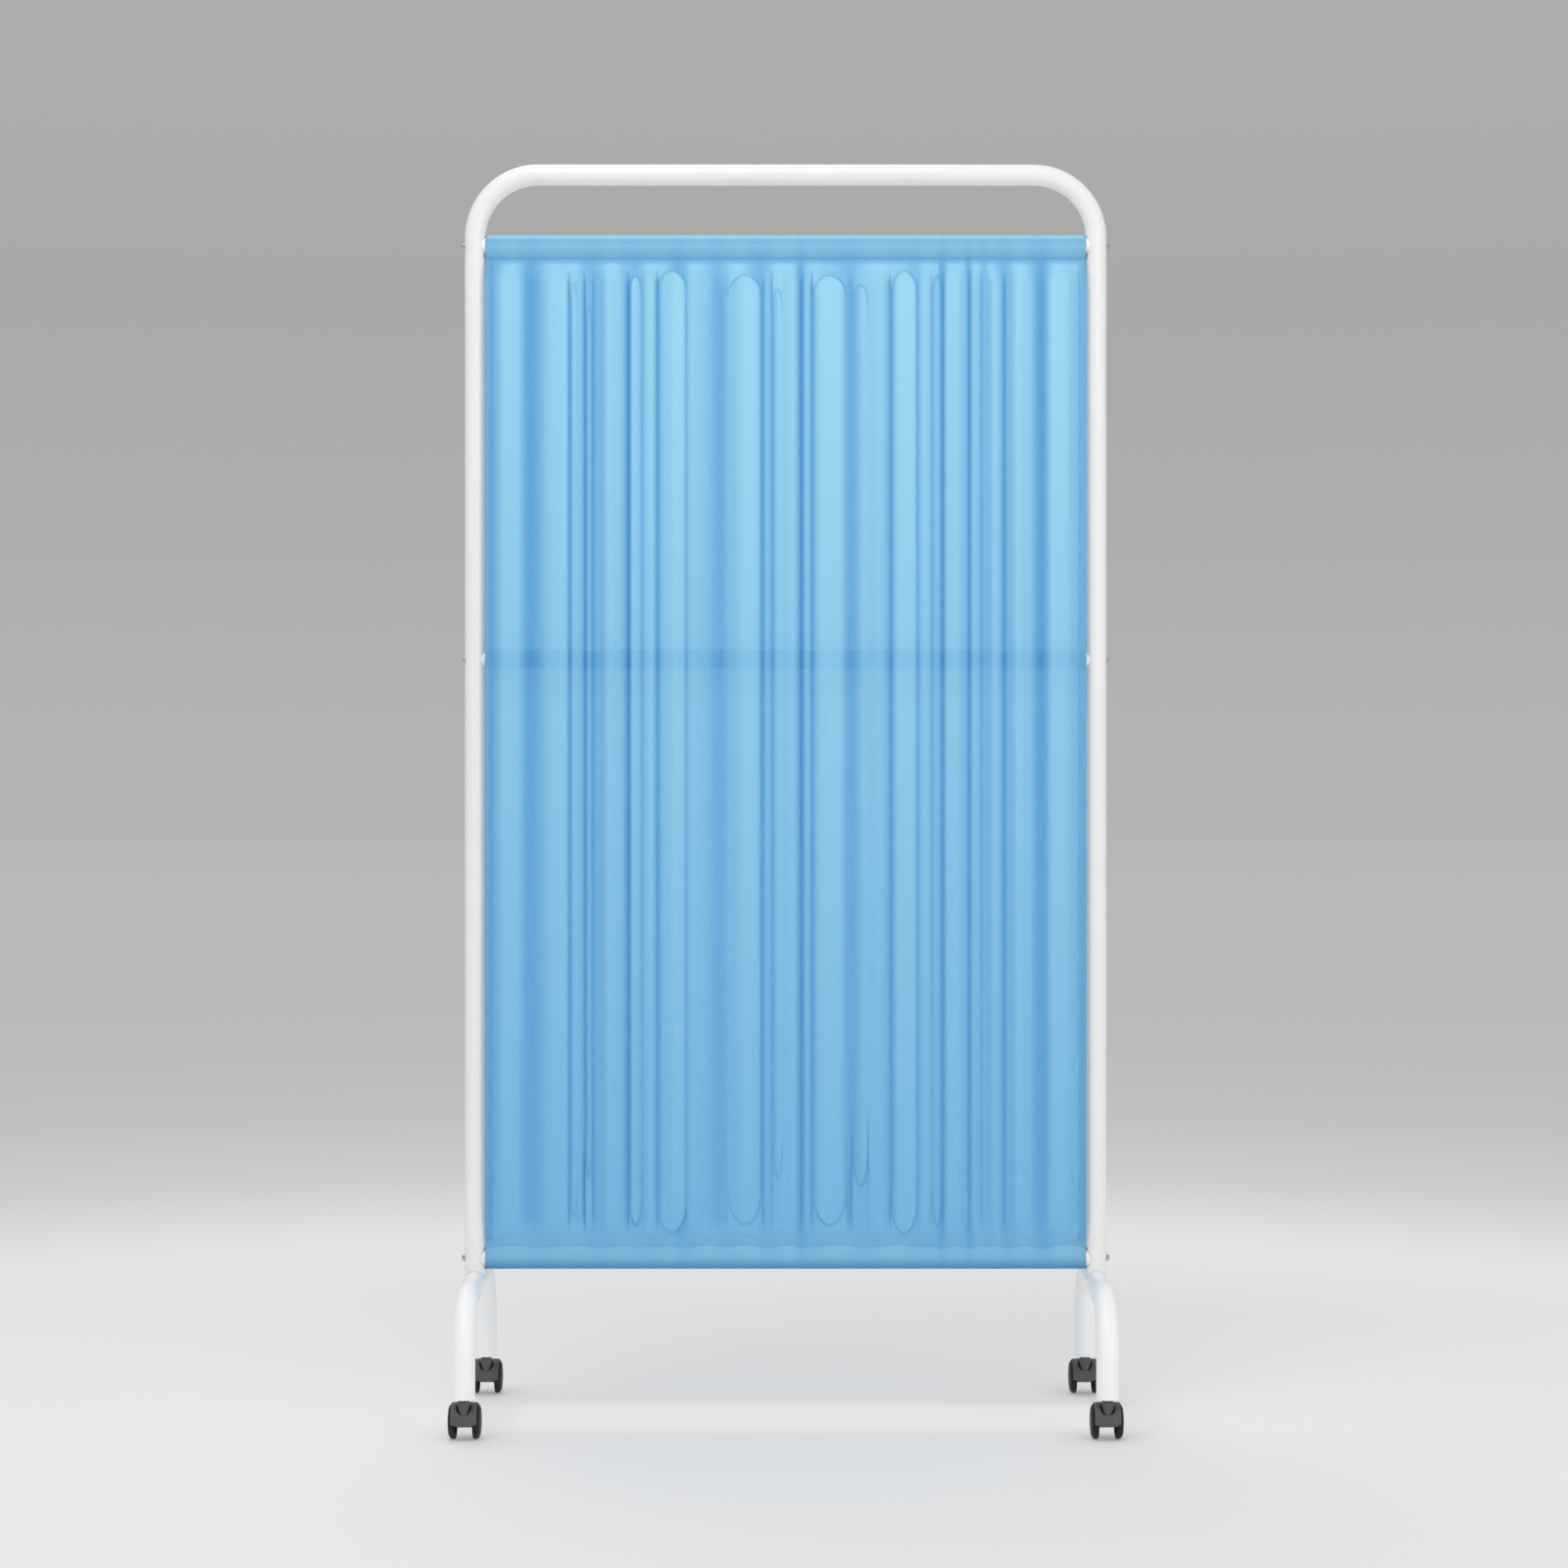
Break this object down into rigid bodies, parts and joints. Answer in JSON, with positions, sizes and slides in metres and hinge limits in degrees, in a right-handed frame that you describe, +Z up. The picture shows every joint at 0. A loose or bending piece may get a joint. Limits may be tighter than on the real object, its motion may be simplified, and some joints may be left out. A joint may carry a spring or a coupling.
{
  "type": "wheeled privacy screen",
  "caption": "Free-standing ward privacy screen: a bent tube frame on arched feet with swivel casters, and a gathered cloth between cross rods.",
  "frame": {"origin": "floor level, under the middle of the box round the whole screen", "axes": "+Z up, +X to the right along the screen seen from its front, -Y towards the viewer of the front"},
  "size_m": [0.938, 0.4406, 1.8],
  "materials": {
    "white_coat": "satin",
    "white_plastic": "satin",
    "zinc": "satin",
    "black_nylon": "satin",
    "wheel_black": "satin",
    "blue_cloth": "matte"
  },
  "bodies": {
    "screen": {"frame_tube": "white_coat", "rod_top": "white_coat", "saddle_plug_top_left": "white_plastic", "rod_screw_top_left": "white_coat", "saddle_plug_top_right": "white_plastic", "rod_screw_top_right": "white_coat", "rod_middle": "white_coat", "saddle_plug_middle_left": "white_plastic", "rod_screw_middle_left": "white_coat", "saddle_plug_middle_right": "white_plastic", "rod_screw_middle_right": "white_coat", "rod_bottom": "white_coat", "saddle_plug_bottom_left": "white_plastic", "rod_screw_bottom_left": "white_coat", "saddle_plug_bottom_right": "white_plastic", "rod_screw_bottom_right": "white_coat", "foot_left": "white_coat", "upright_insert_left": "zinc", "saddle_washer_left": "zinc", "foot_bolt_left": "white_coat", "foot_right": "white_coat", "upright_insert_right": "zinc", "saddle_washer_right": "zinc", "foot_bolt_right": "white_coat", "curtain": "blue_cloth", "caster_socket_front_left": "white_plastic", "caster_stem_front_left": "zinc", "caster_socket_front_right": "white_plastic", "caster_stem_front_right": "zinc", "caster_socket_rear_left": "white_plastic", "caster_stem_rear_left": "zinc", "caster_socket_rear_right": "white_plastic", "caster_stem_rear_right": "zinc"},
    "caster_front_left": {"caster_hood_front_left": "black_nylon", "caster_axle_front_left": "zinc"},
    "wheel_front_left_outer": {"wheel_front_left_outer": "wheel_black"},
    "wheel_front_left_inner": {"wheel_front_left_inner": "wheel_black"},
    "caster_front_right": {"caster_hood_front_right": "black_nylon", "caster_axle_front_right": "zinc"},
    "wheel_front_right_outer": {"wheel_front_right_outer": "wheel_black"},
    "wheel_front_right_inner": {"wheel_front_right_inner": "wheel_black"},
    "caster_rear_left": {"caster_hood_rear_left": "black_nylon", "caster_axle_rear_left": "zinc"},
    "wheel_rear_left_outer": {"wheel_rear_left_outer": "wheel_black"},
    "wheel_rear_left_inner": {"wheel_rear_left_inner": "wheel_black"},
    "caster_rear_right": {"caster_hood_rear_right": "black_nylon", "caster_axle_rear_right": "zinc"},
    "wheel_rear_right_outer": {"wheel_rear_right_outer": "wheel_black"},
    "wheel_rear_right_inner": {"wheel_rear_right_inner": "wheel_black"}
  },
  "joints": [
    {"name": "swivel_front_left", "type": "hinge", "parent": "screen", "child": "caster_front_left", "pos_m": [-0.446, -0.20435, 0.0581], "axis": [0, 0, 1], "continuous": true},
    {"name": "roll_front_left_outer", "type": "hinge", "parent": "caster_front_left", "child": "wheel_front_left_outer", "pos_m": [-0.446, -0.18635, 0.02479], "axis": [1, 0, 0], "continuous": true},
    {"name": "roll_front_left_inner", "type": "hinge", "parent": "caster_front_left", "child": "wheel_front_left_inner", "pos_m": [-0.446, -0.18635, 0.02479], "axis": [1, 0, 0], "continuous": true},
    {"name": "swivel_front_right", "type": "hinge", "parent": "screen", "child": "caster_front_right", "pos_m": [0.446, -0.20435, 0.0581], "axis": [0, 0, 1], "continuous": true},
    {"name": "roll_front_right_outer", "type": "hinge", "parent": "caster_front_right", "child": "wheel_front_right_outer", "pos_m": [0.446, -0.18635, 0.02479], "axis": [1, 0, 0], "continuous": true},
    {"name": "roll_front_right_inner", "type": "hinge", "parent": "caster_front_right", "child": "wheel_front_right_inner", "pos_m": [0.446, -0.18635, 0.02479], "axis": [1, 0, 0], "continuous": true},
    {"name": "swivel_rear_left", "type": "hinge", "parent": "screen", "child": "caster_rear_left", "pos_m": [-0.446, 0.17565, 0.0581], "axis": [0, 0, 1], "continuous": true},
    {"name": "roll_rear_left_outer", "type": "hinge", "parent": "caster_rear_left", "child": "wheel_rear_left_outer", "pos_m": [-0.446, 0.19365, 0.02479], "axis": [1, 0, 0], "continuous": true},
    {"name": "roll_rear_left_inner", "type": "hinge", "parent": "caster_rear_left", "child": "wheel_rear_left_inner", "pos_m": [-0.446, 0.19365, 0.02479], "axis": [1, 0, 0], "continuous": true},
    {"name": "swivel_rear_right", "type": "hinge", "parent": "screen", "child": "caster_rear_right", "pos_m": [0.446, 0.17565, 0.0581], "axis": [0, 0, 1], "continuous": true},
    {"name": "roll_rear_right_outer", "type": "hinge", "parent": "caster_rear_right", "child": "wheel_rear_right_outer", "pos_m": [0.446, 0.19365, 0.02479], "axis": [1, 0, 0], "continuous": true},
    {"name": "roll_rear_right_inner", "type": "hinge", "parent": "caster_rear_right", "child": "wheel_rear_right_inner", "pos_m": [0.446, 0.19365, 0.02479], "axis": [1, 0, 0], "continuous": true}
  ]
}
